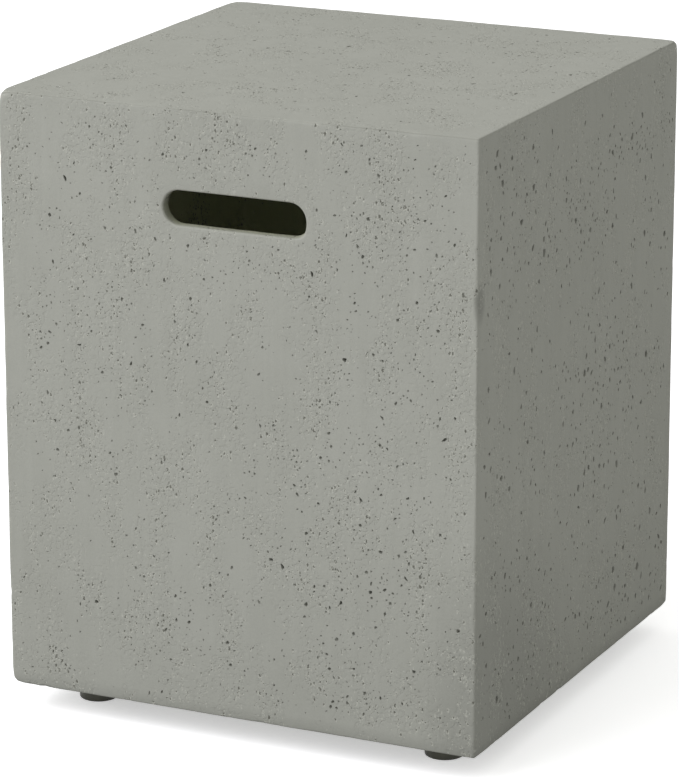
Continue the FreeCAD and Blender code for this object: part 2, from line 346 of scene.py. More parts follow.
def loose_places(side, pits, hole, rng):
    """A loose grid over the middle of a side, and closer vertices by its corners, clear of pits and slot."""
    counts = np.maximum(((side.high - side.low) / INSIDE_STEP).astype(int), 2)
    loose = crossings(*[np.linspace(side.low[k], side.high[k], counts[k] + 1)[1:-1] for k in (0, 1)])
    loose = loose + rng.uniform(-LOOSE_JITTER, LOOSE_JITTER, loose.shape) * INSIDE_STEP
    near = crossings(CORNER_LINES, CORNER_LINES)
    corners = [np.where(which, side.high - near, side.low + near) for which in np.ndindex(2, 2)]
    loose = np.vstack([loose, *corners])
    clear = np.ones(len(loose), bool)
    for u, v, r in zip(pits["u"], pits["v"], pits["reach"]):
        clear &= np.hypot(loose[:, 0] - u, loose[:, 1] - v) > r + PIT_MARGIN
    if hole is not None:
        clear &= distance_to_slot(loose) > hole + SLOT_MARGIN + sum(SLOT_WEAR[:2])
    return loose[clear]


def triangulate(places, edges, rim_of):
    """Triangles over places, with the ones inside rims left out. Edges are kept, and rim_of is the number of
    the rim that each place is on, or -1. A triangle is inside a rim if its corners are all on it and run
    the way the rim does."""
    found = delaunay_2d_cdt([Vector(p) for p in places.tolist()], edges.tolist(), [], 0, CDT_TOLERANCE, True)
    source = np.array([origin[0] if origin else -1 for origin in found[3]])
    if len(source) != len(places) or (source < 0).any():
        raise ValueError("two rims cross")
    triangles = source[np.array(found[2])]
    a, b, c = [places[triangles[:, k]] for k in range(3)]
    area = (b[:, 0] - a[:, 0]) * (c[:, 1] - a[:, 1]) - (b[:, 1] - a[:, 1]) * (c[:, 0] - a[:, 0])
    triangles = np.where(area[:, None] < 0, triangles[:, ::-1], triangles)
    owner = rim_of[triangles]
    same = (owner[:, 0] >= 0) & (owner[:, 0] == owner[:, 1]) & (owner[:, 1] == owner[:, 2])
    turns = (np.roll(triangles, -1, axis=1) > triangles).sum(axis=1)
    return triangles[~(same & (turns == 2)) & (np.abs(area) > LEAST_AREA)]


def fill_side(surface, side, pits, hole, rng):
    """Meshes one side. A grid of the side's own lines runs round its edges; the middle is a Delaunay
    triangulation of a loose grid, the pits' rims and the handle hole, with the triangles inside rims
    and hole left out. Below each rim come its rings and its lowest point."""
    grid = crossings(*side.lines)
    cells = grid_quads(*[len(line) for line in side.lines[::-1]])
    cells = cells[~((grid >= side.low) & (grid < side.high))[cells[:, 0]].all(axis=1)]
    within = ((grid >= side.low) & (grid <= side.high)).all(axis=1)
    border = within & ~((grid > side.low) & (grid < side.high)).all(axis=1)
    places = [grid[border], loose_places(side, pits, hole, rng)]
    count = sum(len(p) for p in places)
    rim_of, edges, wells, rims = [np.full(count, -1)], [], [], 0
    for least, most, sides, shares in PIT_KINDS:
        chosen = pits[(pits["radius"] >= least) & (pits["radius"] < most)]
        rings = pit_rings(chosen, sides, shares, rng)
        rim = count + np.arange(len(chosen) * sides).reshape(-1, sides)
        edges.append(np.column_stack([rim.ravel(), np.roll(rim, -1, axis=1).ravel()]))
        places.append(rings[:, 0].reshape(-1, 2))
        rim_of.append(rims + np.repeat(np.arange(len(chosen)), sides))
        wells.append((rim, rings, chosen, shares))
        count += rim.size
        rims += len(chosen)
    if hole is not None:
        ring = obround(hole, 1 - side.share)[0]
        rim = count + np.arange(len(ring))
        edges.append(np.column_stack([rim, np.roll(rim, -1)]))
        places.append(ring)
        rim_of.append(np.full(len(ring), rims))
    places, rim_of = np.vstack(places), np.concatenate(rim_of)
    triangles = triangulate(places, np.vstack(edges), rim_of)

    surface.faces.append(cells + surface.add(carry(side, grid, 0.0), side.share, seam_dirt_and_shade(side, grid)))
    is_pit = (rim_of >= 0) & (rim_of < rims)
    number = np.where(is_pit, rim_of + surface.rims_used, -1)
    start = surface.add(carry(side, places, 0.0), side.share, 0.0, number)
    surface.faces.append(triangles + start)
    for rim, *well in wells:
        sink_pits(surface, side, start + rim, *well)
    surface.rims_used += rims


def sink_pits(surface, side, above, rings, chosen, shares):
    """Adds what lies below the rims of many pits of one kind: ring after ring, and the lowest point. above
    holds the rims' vertex numbers [pit, angle], and rings the places of all rings."""
    sides, depth, dirt_and_shade = above.shape[1], chosen["depth"], chosen["dirt_and_shade"]
    number = np.arange(above.size).reshape(above.shape)
    for k, (_, share, dirt_and_shade_share) in enumerate(shares):
        ring = carry(side, rings[:, k + 1].reshape(-1, 2), np.repeat(depth * share, sides))
        below = surface.add(ring, side.share, np.repeat(dirt_and_shade * dirt_and_shade_share, sides)) + number
        surface.faces.append(ring_faces(above, below))
        above = below
    centre = carry(side, np.column_stack([chosen["u"], chosen["v"]]), depth)
    point = surface.add(centre, side.share, dirt_and_shade) + np.arange(len(centre))
    after = np.roll(above, -1, axis=1)
    surface.faces.append(np.column_stack([above.ravel(), after.ravel(), np.repeat(point, sides)]))


def ring_faces(above, below):
    """Triangles between two rings of each pit, given as vertex numbers [pit, angle]."""
    a, b = above, np.roll(above, -1, axis=1)
    d, c = below, np.roll(below, -1, axis=1)
    return np.concatenate([np.stack(corners, -1).reshape(-1, 3) for corners in ((a, b, c), (a, c, d))])


def carry(side, places, sunk):
    """Places on a side to their real place: rounded, made uneven, and sunk below the surface."""
    base, out = side.carried(side.at(places))
    return settle(base, out, side.share) - out * np.broadcast_to(sunk, len(places))[:, None]


SEAM_DIRT_AND_SHADE = 0.36             # how dark the top's edge is, as deep as a pit at 1: a seam line, and painted shade that keeps the round from catching the light
SEAM_WAVE = 0.7              # how uneven that is, as a share of it
SEAM_WIDTH = 1.6


def seam_dirt_and_shade(side, places):
    """The darkening along the top's edges, a seam line and painted shade that keeps the round from catching
    the light: at its most at the edge, falling to none SEAM_WIDTH away, and made uneven by noise."""
    points = side.at(places)
    inward = np.minimum(np.abs(points[:, :2] - OUT_LOW[:2]), np.abs(points[:, :2] - OUT_HIGH[:2])).min(axis=1)
    away = np.maximum(inward, TOP - points[:, 2])
    return SEAM_DIRT_AND_SHADE * np.clip(1 - away / SEAM_WIDTH, 0, 1) * (1 + SEAM_WAVE * noise(points, *SEAM_NOISE))


# The handle slots and the bottom rim

SLOT_STRAIGHT_STEPS = 30
SLOT_ROUND_STEPS = 16


def obround(offset, worn):
    """The slot's outline moved outward by offset, as places (u, v) counterclockwise, and its outward
    directions. Two half circles of radius SLOT_RADIUS + offset stand SLOT_REACH either side of the
    middle; straight runs join them. Where worn is 1 the right end stands out by a share of its distance
    from the middle, squared, and its lower corner by a bell curve."""
    turn = np.linspace(-np.pi / 2, np.pi / 2, SLOT_ROUND_STEPS + 1)
    run = np.linspace(-SLOT_REACH, SLOT_REACH, SLOT_STRAIGHT_STEPS + 1)[1:-1]
    right = np.column_stack([np.cos(turn), np.sin(turn)])
    upper = np.tile([0.0, 1.0], (len(run), 1))
    away = np.vstack([right, upper, -right, -upper])
    ends = np.full((len(turn), 1), SLOT_REACH)
    middle = np.vstack([ends, run[::-1, None], -ends, run[:, None]])
    spine = np.column_stack([middle, np.zeros(len(middle))]) + SLOT_MIDDLE
    places = spine + away * (SLOT_RADIUS + offset)
    end, low, length = SLOT_WEAR
    corner = SLOT_MIDDLE + (SLOT_REACH, 0) + np.array([1, -1]) * (SLOT_RADIUS + offset) / math.sqrt(2)
    near = bell(places, corner, length)[:, None]
    along = np.clip(middle / SLOT_REACH, 0, 1) ** 2
    return places + worn * (along * (end, 0) + near * (low, -low) / math.sqrt(2)), away


def distance_to_slot(places):
    """How far places on the front or back lie outside the slot's outline."""
    beyond = np.maximum(np.abs(places[:, 0]) - SLOT_REACH, 0)
    return np.hypot(beyond, places[:, 1] - SLOT_MIDDLE[1]) - SLOT_RADIUS


def line_slot(surface, side):
    """The slot's wall: a profile carried round the outline. It rolls in from the face by a quarter turn
    of SLOT_OUTER_LIP, runs straight through the wall and rolls out by a quarter turn of SLOT_INNER_LIP.
    Its colour is darkened as painted shade, more above than below and more the deeper in, but not at its
    inner lip."""
    first, last = np.radians([0, 15, 30, 45, 60, 75, 90]), np.radians([30, 60, 90])
    straight = np.linspace(SLOT_OUTER_LIP, WALL - SLOT_INNER_LIP, 4)[1:]
    profile = list(zip(
        [*SLOT_OUTER_LIP * (1 - np.sin(first)), 0, 0, 0, *SLOT_INNER_LIP * (1 - np.cos(last))],
        [*SLOT_OUTER_LIP * (1 - np.cos(first)), *straight, *WALL - SLOT_INNER_LIP * (1 - np.sin(last))],
        [*np.cos(first), 0, 0, 0, *-np.sin(last)],
        [*np.sin(first), 1, 1, 1, *np.cos(last)],
        [1] * (len(first) + len(straight)) + [*np.cos(last)]))
    for offset, depth, facing, inward, dirt_and_shade_share in profile:
        ring, away = obround(offset, 1 - depth / WALL)
        away = away[:, :1] * side.across + away[:, 1:] * side.up
        base = side.at(ring) - side.out * depth
        share = min(max(depth / WALL, 0), 1)
        # painted shade, darker above and further in
        painted_shade = np.interp(away[:, 2], [-1, 1], SLOT_PAINTED_SHADE) * min(depth / (WALL - SLOT_INNER_LIP), 1) * dirt_and_shade_share
        surface.add(settle(base, facing * side.out - inward * away, share), share, painted_shade)
    rows, columns = len(profile), len(ring)
    surface.faces.append(grid_quads(rows, columns, closed=True) + surface.count - rows * columns)


def edge_rim(surface, side):
    """The rim under one wall: rows across it from the outside's edge, where the rounding of the box carries
    it, to the hollow's edge, where it rolls up by the same angles as hollow_of."""
    outer = side.at(np.column_stack([side.lines[0], np.full(len(side.lines[0]), RIM)]))
    inner = outer * np.array([IN_HIGH[0] / OUT_HIGH[0], IN_HIGH[1] / OUT_HIGH[1], 1])
    down = np.array([0, 0, -1.0])
    outside = [(*outside_of(outer + (inner - outer) * distance / WALL), 0.0) for distance in ROLL_ROWS]
    wall, into = wall_of_hollow(inner)
    inside = []
    for distance in ROLL_ROWS[::-1]:
        angle = math.atan((RIM_ROUND - distance) / RIM_ROUND)
        base = wall + into * RIM_ROUND * (1 - math.sin(angle))
        base[:, 2] = RIM + RIM_ROUND * (1 - math.cos(angle))
        inside.append((base, -into * math.sin(angle) + down * math.cos(angle), 1.0))
    middle = ((outside[-1][0] + inside[0][0]) / 2, np.tile(down, (len(outer), 1)), 0.5)
    rows = [*outside, middle, *inside]
    for base, out, share in rows:
        surface.add(settle(base, out, share), share)
    surface.faces.append(grid_quads(len(rows), len(outer))[:, ::-1] + surface.count - len(rows) * len(outer))


# Where the pits are

PIT = np.dtype([(name, float) for name in ("u", "v", "radius", "stretch", "turn", "depth", "reach", "dirt_and_shade")])
PIT_SPREAD = 0.36
PIT_LEAST = 0.40
PIT_MOST = 2.3               # times the median
PIT_STRETCH = 1.4            # most that one is stretched by, on top of 1
PIT_TILT = 0.5               # how far they turn from upright, in radians
PIT_DEPTH = (1.0, 2.0)       # times the radius
# how dark the pits are with dirt and painted shade, least and most
PIT_DIRT_AND_SHADE = (0.45, 1.0)
COMPANY_LEAST = 1.0          # the least radius that has company, and the most that its company has
COMPANY_MOST = 4
COMPANY_RING = 1.5           # the company stands this many radii off, and COMPANY_REACH further
COMPANY_REACH = (0.5, 3.5)
EDGE_CLEAN = 20.0            # beside the edges there are fewer pits, down to this share of them at the edge
EDGE_LEAST = 0.12
SLOT_CLEAN = 0.8             # clear of pits beyond the slot's worn lip


def make_pits(places, radii, rng):
    """Pits at the given places: stretched by up to 2.4, mostly upright, and from half as deep as they are
    wide to just as deep. Each is darkened by its own amount of dirt and painted shade."""
    pits = np.zeros(len(radii), PIT)
    pits["u"], pits["v"], pits["radius"] = places[:, 0], places[:, 1], radii
    pits["stretch"] = 1 + PIT_STRETCH * rng.random(len(radii)) ** 1.5
    pits["turn"] = np.pi / 2 + rng.normal(0, PIT_TILT, len(radii))
    pits["depth"] = radii * rng.uniform(*PIT_DEPTH, len(radii))
    pits["reach"] = radii * np.sqrt(pits["stretch"]) * (1 + RIM_WOBBLE)
    pits["dirt_and_shade"] = rng.uniform(*PIT_DIRT_AND_SHADE, len(radii))
    return pits


def beside(places, radii, rng):
    """Small pits that crowd round each large one, a few each: their places and their radii."""
    large = radii > COMPANY_LEAST
    count = rng.integers(1, COMPANY_MOST + 1, large.sum())
    middle = np.repeat(places[large], count, axis=0)
    reach = np.repeat(radii[large], count) * COMPANY_RING + rng.uniform(*COMPANY_REACH, len(middle))
    turn = rng.uniform(0, 2 * np.pi, len(middle))
    aside = np.column_stack([np.cos(turn), np.sin(turn)]) * reach[:, None]
    return middle + aside, rng.uniform(PIT_LEAST, COMPANY_LEAST, len(middle))


def scatter(side, chosen, clusters, count, median, rng, hole):
    """The pits of a side: the ones given, then count more, thrown at random into the clusters
    (share, middle, spread, size) and over the rest of the side, and last the small ones beside the
    large. One that would touch another, the edge or the slot is left out, and near the edges they thin
    out. Their radii have a lognormal spread about the median."""
    by_hand = np.array(chosen, float).reshape(-1, 3)
    shares = [share for share, *_ in clusters]
    kind = rng.choice(len(clusters) + 1, count, p=shares + [1 - sum(shares)])
    places = rng.uniform(side.low, side.high, (count, 2))
    radii = np.clip(median * np.exp(rng.normal(0, PIT_SPREAD, count)), PIT_LEAST, median * PIT_MOST)
    for number, (_, middle, spread, size) in enumerate(clusters):
        mine = kind == number
        places[mine] = rng.normal(middle, spread, (mine.sum(), 2))
        radii[mine] = np.maximum(radii[mine] * size, PIT_LEAST)
    places, radii = np.vstack([by_hand[:, :2], places]), np.concatenate([by_hand[:, 2], radii])
    company, company_radii = beside(places, radii, rng)
    pits = make_pits(np.vstack([places, company]), np.concatenate([radii, company_radii]), rng)
    pits["dirt_and_shade"][:len(by_hand)] = PIT_DIRT_AND_SHADE[1]
    places = np.column_stack([pits["u"], pits["v"]])
    margin = np.minimum(places - side.low, side.high - places).min(axis=1)
    kept_back = rng.random(len(pits)) >= np.clip(margin / EDGE_CLEAN, EDGE_LEAST, 1)
    kept_back[:len(by_hand)] = False
    inside = (margin > pits["reach"] + PIT_MARGIN) & ~kept_back
    if hole is not None:
        inside &= distance_to_slot(places) > hole + sum(SLOT_WEAR[:2]) + SLOT_CLEAN + pits["reach"]
    pits = pits[inside]
    kept = np.zeros(len(pits), bool)
    for k, pit in enumerate(pits):
        gap = np.hypot(pits["u"][kept] - pit["u"], pits["v"][kept] - pit["v"])
        kept[k] = (gap > pits["reach"][kept] + pit["reach"] + PIT_CLEARANCE).all()
    return pits[kept]


def sized(pits, steps):
    """The pits with the radii of their marks turned into their own, rounded to 0.01 mm at each step. A step
    is (factor, the radius above which it counts, the most that it gives)."""
    for factor, least, most in steps:
        pits = [(u, v, round(min(radius * factor, most), 2) if radius > least else radius)
                for u, v, radius in pits]
    return pits


# From the photograph: (across, up, radius of the mark), the most visible pits of each side
FRONT_PITS = [
    (-164, 467, 0.9), (-112, 482, 1.0), (-84, 460, 1.1), (15, 485, 1.1), (168, 484, 1.3), (146, 479, 0.9),
    (135, 464, 0.8), (139, 431, 1.5), (172, 406, 1.3), (109, 404, 1.3), (103, 366, 1.5), (91, 435, 0.8),
    (-97, 353, 1.4), (-105, 366, 1.0), (-90, 302, 1.9), (-24, 279, 1.6), (-40, 323, 1.4), (185, 292, 1.4),
    (81, 292, 1.5), (129, 261, 1.4), (112, 240, 1.5), (73, 247, 1.9), (80, 245, 1.3), (8, 226, 1.1),
    (53, 215, 1.7), (146, 224, 1.9), (151, 198, 1.7), (197, 166, 1.6), (7, 189, 1.1), (36, 169, 1.2),
    (-72, 147, 1.5), (-59, 152, 1.3), (91, 143, 1.8), (127, 148, 2.0), (116, 140, 1.4), (67, 138, 1.5),
    (189, 124, 1.4), (-131, 115, 1.2), (-190, 113, 1.2), (-42, 97, 1.8), (80, 77, 1.9), (101, 80, 1.7),
    (75, 97, 1.4), (142, 58, 1.4), (81, 46, 1.9), (112, 53, 1.5), (32, 56, 1.5), (-184, 38, 1.3),
    (-90, 54, 1.2), (-67, 35, 1.6), (40, 95, 1.0), (-170, 71, 1.0), (-108, 237, 1.1), (-137, 213, 1.0),
]
RIGHT_PITS = [
    (57, 491, 1.3), (89, 475, 1.0), (56, 458, 1.5), (-117, 459, 1.1), (-32, 448, 1.0), (-53, 426, 1.0),
    (-105, 440, 1.0), (-5, 399, 1.2), (-26, 413, 1.2), (-176, 381, 1.3), (-106, 374, 1.2), (-51, 373, 1.2),
    (-145, 358, 1.1), (-101, 343, 1.2), (-126, 337, 1.1), (30, 335, 1.2), (110, 331, 1.2), (142, 360, 1.0),
    (183, 338, 1.2), (74, 305, 1.5), (-6, 327, 1.1), (-63, 319, 1.3), (123, 304, 1.0), (77, 271, 1.1),
    (-37, 267, 1.3), (-13, 256, 1.3), (30, 245, 1.5), (-7, 234, 1.2), (-91, 223, 1.4), (155, 221, 1.3),
    (128, 198, 1.6), (-80, 202, 1.2), (-16, 181, 1.3), (-23, 159, 1.4), (41, 151, 1.3), (58, 138, 2.1),
    (53, 113, 1.5), (-72, 108, 1.3), (175, 110, 1.6), (181, 78, 1.4), (-8, 79, 1.2), (20, 63, 1.2),
    (52, 71, 1.3), (-55, 35, 1.5), (90, 42, 1.2),
]
# how the radii of the pits follow from those of their marks, found by comparing renders
FRONT_SIZING = [(0.68, 0, 1.35), (1.25, 0, math.inf), (0.9, 1.2, math.inf)]
RIGHT_SIZING = [(0.68, 0, 1.35), (1.25, 0, math.inf), (1.25, 0, math.inf)]
# (share of the pits, middle, spread, size) of the places where they crowd
FRONT_CLUSTERS = [
    (0.12, (-128, 333), (38, 90), 0.85), (0.05, (-43, 98), (28, 25), 0.9), (0.035, (77, 233), (34, 30), 1.2),
    (0.025, (142, 218), (20, 25), 1.1), (0.04, (92, 153), (36, 15), 1.1), (0.04, (82, 83), (30, 20), 1.1),
    (0.06, (137, 318), (30, 30), 1.0), (0.04, (22, 388), (30, 15), 0.9), (0.03, (12, 478), (30, 9), 0.9),
    (0.06, (147, 423), (30, 40), 1.0), (0.02, (-168, 38), (25, 8), 0.9),
]
RIGHT_CLUSTERS = [
    (0.07, (-150, 440), (30, 50), 1.1), (0.08, (-20, 410), (45, 25), 1.2), (0.06, (120, 440), (50, 12), 1.1),
    (0.08, (50, 270), (60, 25), 1.2), (0.08, (-110, 100), (60, 45), 1.0), (0.07, (90, 50), (60, 16), 1.25),
    (0.05, (45, 200), (25, 20), 1.1),
]
BACK_CLUSTERS = [
    (0.15, (110, 300), (45, 90), 0.85), (0.12, (-60, 150), (50, 40), 1.1), (0.10, (-140, 400), (30, 50), 0.9),
    (0.08, (20, 330), (50, 25), 1.0), (0.06, (150, 60), (30, 20), 0.9),
]
LEFT_CLUSTERS = [
    (0.15, (90, 380), (50, 60), 0.9), (0.12, (-80, 300), (50, 50), 1.0), (0.12, (40, 120), (60, 40), 1.1),
    (0.08, (-140, 70), (30, 30), 0.9),
]
TOP_CLUSTERS = [
    (0.15, (-60, 40), (60, 50), 0.9), (0.12, (90, -60), (50, 50), 0.9), (0.08, (60, 140), (60, 25), 0.9),
]
UP = (0, 0, 1)
# across the front, the right, the back and the left side, as seen from outside
WAYS = [(1, 0, 0), (0, 1, 0), (-1, 0, 0), (0, -1, 0)]
INNER_PITS = 50              # on each wall of the hollow
CEILING_PITS = 60
INNER_MEDIAN = 0.9


def cast_shell_surface():
    """The whole casting as one closed surface."""
    rng = np.random.default_rng(2)
    front, right, back, left = outer = [Side(way, UP, 0) for way in WAYS]
    inner = [Side(np.negative(way), UP, 1) for way in WAYS]
    plan = [
        (front, sized(FRONT_PITS, FRONT_SIZING), FRONT_CLUSTERS, 2020, 0.72, SLOT_OUTER_LIP),
        (right, sized(RIGHT_PITS, RIGHT_SIZING), RIGHT_CLUSTERS, 1600, 1.14, None),
        (back, [], BACK_CLUSTERS, 950, 0.8, SLOT_OUTER_LIP),
        (left, [], LEFT_CLUSTERS, 800, 0.85, None),
        (Side((1, 0, 0), (0, 1, 0), 0), [], TOP_CLUSTERS, 580, 0.93, None),
    ]
    lips = (SLOT_INNER_LIP, None) * 2
    plan += [(side, [], [], INNER_PITS, INNER_MEDIAN, lip) for side, lip in zip(inner, lips)]
    plan += [(Side((1, 0, 0), (0, -1, 0), 1), [], [], CEILING_PITS, INNER_MEDIAN, None)]
    surface = Surface()
    for side, chosen, clusters, count, median, hole in plan:
        pits = scatter(side, chosen, clusters, count, median, rng, hole)
        fill_side(surface, side, pits, hole, rng)
    for side in (front, back):
        line_slot(surface, side)
    for side in outer:
        edge_rim(surface, side)
    return surface


WELD = 0.0001


def new_mesh(name, points, faces, **values):
    """A mesh from points in millimetres and triangles, shaded smooth, with a named value at each point."""
    mesh = bpy.data.meshes.new(name)
    mesh.from_pydata((points * MM).tolist(), [], faces.tolist())
    mesh.polygons.foreach_set("use_smooth", np.ones(len(mesh.polygons), bool))
    for kind, value in values.items():
        mesh.attributes.new(kind, "FLOAT", "POINT").data.foreach_set("value", value.astype(np.float32))
    return mesh


def make_mesh(name, surface):
    """One mesh from a surface: vertices at the same place become one, and the edges of the pits' rims are
    marked sharp."""
    rows = np.vstack(surface.rows)
    used, faces = np.unique(np.concatenate(surface.faces), return_inverse=True)
    cells = np.round(rows[used, :3] / WELD).astype(np.int64)
    _, first, same = np.unique(cells, axis=0, return_index=True, return_inverse=True)
    rows = rows[used[first]]
    faces = same.reshape(-1)[faces.reshape(-1, 3)]
    # the pit value is how dark each point is with dirt and painted shade
    mesh = new_mesh(name, rows[:, :3], faces, pit=rows[:, 4], hollow=rows[:, 3])
    ends = np.empty(len(mesh.edges) * 2, np.int32)
    mesh.edges.foreach_get("vertices", ends)
    rims = rows[ends.reshape(-1, 2), 5]
    sharp = (rims[:, 0] >= 0) & (rims[:, 0] == rims[:, 1])
    mesh.attributes.new("sharp_edge", "BOOLEAN", "EDGE").data.foreach_set("value", sharp)
    mesh.update()
    return mesh


def add_object(name, data):
    """A new object in the scene, holding a mesh, a lamp or a camera."""
    made = bpy.data.objects.new(name, data)
    bpy.context.scene.collection.objects.link(made)
    return made


def add_piece(name, mesh, body, node):
    """Puts a mesh in the scene as a piece of the object, riding on a body in place of a solid."""
    piece = add_object(name, mesh)
    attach(piece, body)
    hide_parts(node)
    return piece


casting = make_mesh("casting", cast_shell_surface())
shell = add_piece("casting", casting, "table", "cast_shell")


# The feet and their blocks

CORNERS = {"front_left": (-1, -1), "front_right": (1, -1), "rear_left": (-1, 1), "rear_right": (1, 1)}
SHARP_ANGLE = math.radians(32)


def wound_mesh(name, rows, axis, ends, flipped=False):
    """A closed mesh from rings of points [ring, angle, 3] and a pole at each end, at two heights on the axis.
    Seen from outside, the rings follow each other to the left of the direction in which the angle grows."""
    ring_count, columns = rows.shape[:2]
    points = np.vstack([rows.reshape(-1, 3)] + [(axis[0], axis[1], height) for height in ends])
    around = np.arange(columns)
    ahead = (around + 1) % columns
    start, end = ring_count * columns, ring_count * columns + 1
    last = (ring_count - 1) * columns
    faces = np.concatenate([
        grid_quads(ring_count, columns, closed=True),
        np.column_stack([np.full(columns, start), ahead, around]),
        np.column_stack([last + around, last + ahead, np.full(columns, end)]),
    ])
    mesh = new_mesh(name, points, faces[:, ::-1] if flipped else faces)
    mesh.set_sharp_from_angle(angle=SHARP_ANGLE)
    return mesh


def rings_about(middle, radii, heights, angles):
    """Rings of points about an upright axis, from radii [ring, angle] and heights [ring, angle]."""
    return np.stack([middle[0] + radii * np.cos(angles), middle[1] + radii * np.sin(angles),
                     heights + np.zeros_like(radii)], axis=-1)


def arc(middle, radius, start, end, steps):
    """Profile points (distance from the axis, height) round a quarter of a circle, ends included."""
    turn = np.radians(np.linspace(start, end, steps))
    return np.column_stack([middle[0] + radius * np.cos(turn), middle[1] + radius * np.sin(turn)])


STUD_COLUMNS = 48            # a multiple of six, so that the hexagon's corners are exact
THREAD_RADIUS = 4.0
THREAD_PITCH = 1.25
THREAD_DEPTH = 0.7
THREAD_WAVE = (1.35, 0.15)   # how steep its flanks are, and how much is cut off for its flat crests
THREAD_STEPS = 8             # rings to a pitch
THREAD_POINT = 1.0
THREAD_RUNOUT = 1.5          # pitches over which it runs out
COLLAR_HEIGHT = 4.0
COLLAR_FLAT = 7.0            # half of the distance across the flats
COLLAR_EDGE = (0.8, 1.4)     # height of the close rings at each end of the collar, and of the next ring
COLLAR_FACE = 0.6            # how far its round face stays inside the flats
NECK_RADIUS = 3.5
DISC_RADIUS = 6.0
DISC_HEIGHT = 3.0
DISC_ROUND = 0.8
COLLAR_UP = 9.5              # from the disc's underside to the collar


def levelling_stud(name, node):
    """The stud as rings about its axis. The disc and neck are a turned profile. The collar's radius is the
    smaller of a hexagon's, flat / cos(angle to the nearest flat), and a cone's, which rises at 30
    degrees from each end. The thread's is the crest less THREAD_DEPTH x a wave with flat crests
    and roots of the phase height / pitch - angle / turn, and it runs out at the collar."""
    low, high = box_of(node)
    middle = (low + high) / 2
    angles = np.arange(STUD_COLUMNS) * 2 * np.pi / STUD_COLUMNS
    disc_top = low[2] + DISC_HEIGHT
    collar = low[2] + COLLAR_UP
    shank = collar + COLLAR_HEIGHT
    inner = DISC_RADIUS - DISC_ROUND
    turned = np.vstack([
        [(inner / 2, low[2])],
        arc((inner, low[2] + DISC_ROUND), DISC_ROUND, -90, 0, 5),
        arc((inner, disc_top - DISC_ROUND), DISC_ROUND, 0, 90, 5),
        [(NECK_RADIUS, height) for height in (disc_top, (disc_top + collar) / 2, collar)],
        [(COLLAR_FLAT - COLLAR_FACE, collar)],
    ])
    close, following = COLLAR_EDGE
    rise = np.concatenate([
        np.linspace(0, close, 6),
        np.linspace(following, COLLAR_HEIGHT - following, 3),
        np.linspace(COLLAR_HEIGHT - close, COLLAR_HEIGHT, 6),
    ])
    from_flat = (angles + np.pi / 3) % (np.pi / 3) - np.pi / 6
    hexagon = COLLAR_FLAT / np.cos(from_flat)
    cone = COLLAR_FLAT + np.minimum(rise, COLLAR_HEIGHT - rise) / math.tan(math.radians(30))
    steps = int(round((high[2] - shank) / THREAD_PITCH * THREAD_STEPS))
    up = np.linspace(shank, high[2], steps + 1)
    phase = (up[:, None] / THREAD_PITCH - angles[None, :] / (2 * np.pi)) % 1
    steep, cut = THREAD_WAVE
    wave = np.clip(np.abs(2 * phase - 1) * steep - cut, 0, 1)
    runout = np.clip((up - shank) / (THREAD_RUNOUT * THREAD_PITCH), 0, 1)[:, None]
    depth = THREAD_DEPTH * (wave * runout + (1 - runout))
    radii = np.vstack([
        np.repeat(turned[:, :1], STUD_COLUMNS, axis=1),
        np.minimum(hexagon[None, :], cone[:, None]),
        np.minimum(THREAD_RADIUS - depth, THREAD_RADIUS - THREAD_POINT + (high[2] - up)[:, None]),
    ])
    heights = np.concatenate([turned[:, 1], collar + rise, up])[:, None]
    return wound_mesh(name, rings_about(middle, radii, heights, angles), middle, (low[2], high[2]))


PAD_COLUMNS = 96
PAD_ROUNDS = (1.5, 2.5)      # lower and upper
PAD_FLOOR = 4.0              # plastic under the stud's foot disc
PAD_HOLLOW = (11.0, 0.6)     # radius and depth of the hollow underneath
PAD_RIBS = 12
RIB_SPAN = (3.0, 3.4, 9.4, 10.0)     # a rib starts, is full, is still full and ends at these radii
RIB_HEIGHT = 0.4
PARTING_LINE = 0.12          # how far the mould's parting line stands out
PARTING_DROP = 0.5           # how far it lies below the pad's middle
SOCKET = (6.3, 3.3)          # radius and height of the room round the foot disc
MOUTH = (3.55, 4.6, 1.5)     # the socket's mouth: bore, flare and how deep the flare is


def foot_pad(name, node):
    """The moulded pad as rings about its axis: a hollow underneath, a side with the mould's thin parting
    line, and the socket inside. In the hollow are low radial ribs, which stand out by the eighth power of
    the cosine of ribs x angle / 2."""
    low, high = box_of(node)
    middle = (low + high) / 2
    edge = (high[0] - low[0]) / 2
    side = edge - PARTING_LINE
    angles = np.arange(PAD_COLUMNS) * 2 * np.pi / PAD_COLUMNS
    hollow, deep = PAD_HOLLOW
    lower, upper = PAD_ROUNDS
    line = low[2] + (high[2] - low[2]) / 2 - PARTING_DROP
    disc_room = PAD_FLOOR + SOCKET[1]
    profile = np.vstack([
        [(r, deep) for r in (1.5, *RIB_SPAN[:2], 6.0, *RIB_SPAN[2:], hollow - 0.2)],
        [(hollow, deep - 0.2), (hollow, 0.2), (hollow + 0.2, 0), (12.6, 0)],
        arc((side - lower, lower), lower, -90, 0, 7),
        [(side, line - 0.35), (side + 0.02, line - 0.2), (edge, line - 0.05)],
        [(edge, line + 0.05), (side + 0.02, line + 0.2), (side, line + 0.35)],
        arc((side - upper, high[2] - upper), upper, 0, 90, 9),
        [(10.0, high[2]), (MOUTH[1] + 0.3, high[2]), (MOUTH[1], high[2] - 0.1)],
        [(MOUTH[0], high[2] - MOUTH[2]), (MOUTH[0], disc_room)],
        [(SOCKET[0], disc_room), (SOCKET[0], PAD_FLOOR), (3.0, PAD_FLOOR)],
    ])
    radii, heights = [np.repeat(column[:, None], PAD_COLUMNS, axis=1) for column in profile.T]
    rib = np.abs(np.cos(angles * PAD_RIBS / 2)) ** 8
    ribbed = np.interp(profile[:, 0], RIB_SPAN, [0, 1, 1, 0]) * (np.abs(profile[:, 1] - deep) < 0.01)
    heights = heights - RIB_HEIGHT * ribbed[:, None] * rib[None, :]
    return wound_mesh(name, rings_about(middle, radii, heights, angles), middle, (deep, PAD_FLOOR))


